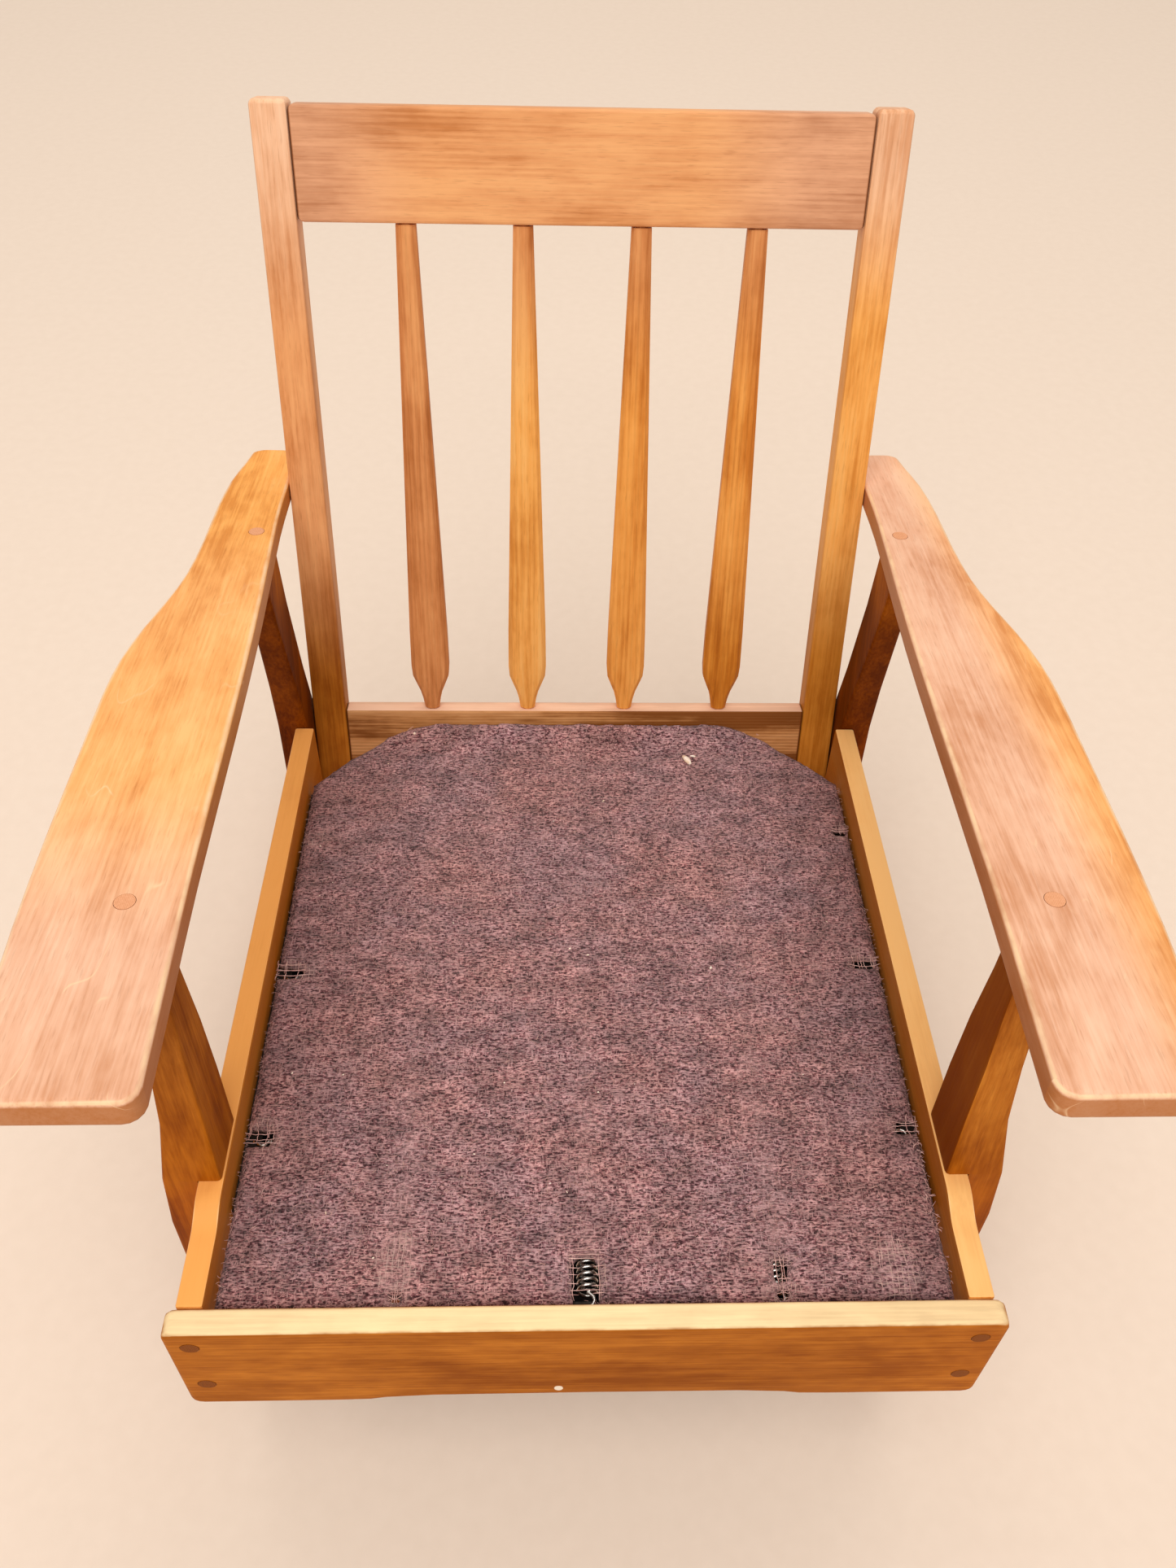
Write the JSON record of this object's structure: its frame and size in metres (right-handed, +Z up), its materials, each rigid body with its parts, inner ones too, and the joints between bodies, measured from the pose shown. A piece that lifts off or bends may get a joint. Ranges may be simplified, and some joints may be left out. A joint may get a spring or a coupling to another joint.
{
  "type": "rocking chair",
  "caption": "Wooden rocking chair frame with broad flat arms, an arrow-slat back and a sprung seat deck covered by felt.",
  "frame": {"origin": "on the floor, under the middle of the bounding box", "axes": "+Z up, the chair faces -Y, +X to the right as seen from the front"},
  "size_m": [0.686, 0.8424, 0.8451],
  "materials": {
    "maple": "honey-orange stain under satin varnish, worn paler on the arms",
    "dowel_maple": "darker end grain under satin varnish",
    "felt": "red-brown needled felt on an open weave, fuzzy and worn through over the springs",
    "spring_wire": "oiled spring wire",
    "band_steel": "dull strip steel",
    "zinc_screw": "aged zinc plate"
  },
  "bodies": {
    "frame": {"arm_left": "maple", "arm_peg_left_front": "dowel_maple", "arm_peg_left_rear": "dowel_maple", "arm_peg_right_front": "dowel_maple", "arm_peg_right_rear": "dowel_maple", "arm_right": "maple", "back_screw_left": "zinc_screw", "back_screw_right": "zinc_screw", "back_slat_1": "maple", "back_slat_2": "maple", "back_slat_3": "maple", "back_slat_4": "maple", "back_upright_left": "maple", "back_upright_right": "maple", "crest_rail": "maple", "front_anchor_strip": "band_steel", "front_leg_left": "maple", "front_leg_right": "maple", "front_plug_left_lower": "dowel_maple", "front_plug_left_upper": "dowel_maple", "front_plug_right_lower": "dowel_maple", "front_plug_right_upper": "dowel_maple", "front_rail": "maple", "front_screw_left_lower": "zinc_screw", "front_screw_left_upper": "zinc_screw", "front_screw_right_lower": "zinc_screw", "front_screw_right_upper": "zinc_screw", "front_stretcher": "maple", "lower_back_rail": "maple", "rear_anchor_strip": "band_steel", "rear_leg_left": "maple", "rear_leg_right": "maple", "rear_stretcher": "maple", "rocker_left": "maple", "rocker_right": "maple", "side_anchor_strip_left": "band_steel", "side_anchor_strip_right": "band_steel", "side_rail_left": "maple", "side_rail_right": "maple", "spring_front_1": "spring_wire", "spring_front_2": "spring_wire", "spring_front_3": "spring_wire", "spring_left_1": "spring_wire", "spring_left_2": "spring_wire", "spring_left_3": "spring_wire", "spring_rear_1": "spring_wire", "spring_rear_2": "spring_wire", "spring_rear_3": "spring_wire", "spring_right_1": "spring_wire", "spring_right_2": "spring_wire", "spring_right_3": "spring_wire"},
    "deck": {"cross_band_1": "band_steel", "cross_band_2": "band_steel", "cross_band_3": "band_steel", "felt_pad": "felt", "long_band_1": "band_steel", "long_band_2": "band_steel", "long_band_3": "band_steel"}
  },
  "joints": [
    {"name": "seat_deck_travel", "type": "slide", "parent": "frame", "child": "deck", "axis": [0, 0.0872, 0.9962], "range_m": [-0.03, 0], "stiffness_N_per_m": 9000, "springref_m": 0.003, "deforming": ["spring_front_1", "spring_front_2", "spring_front_3", "spring_left_1", "spring_left_2", "spring_left_3", "spring_rear_1", "spring_rear_2", "spring_rear_3", "spring_right_1", "spring_right_2", "spring_right_3", "felt_pad"]}
  ]
}
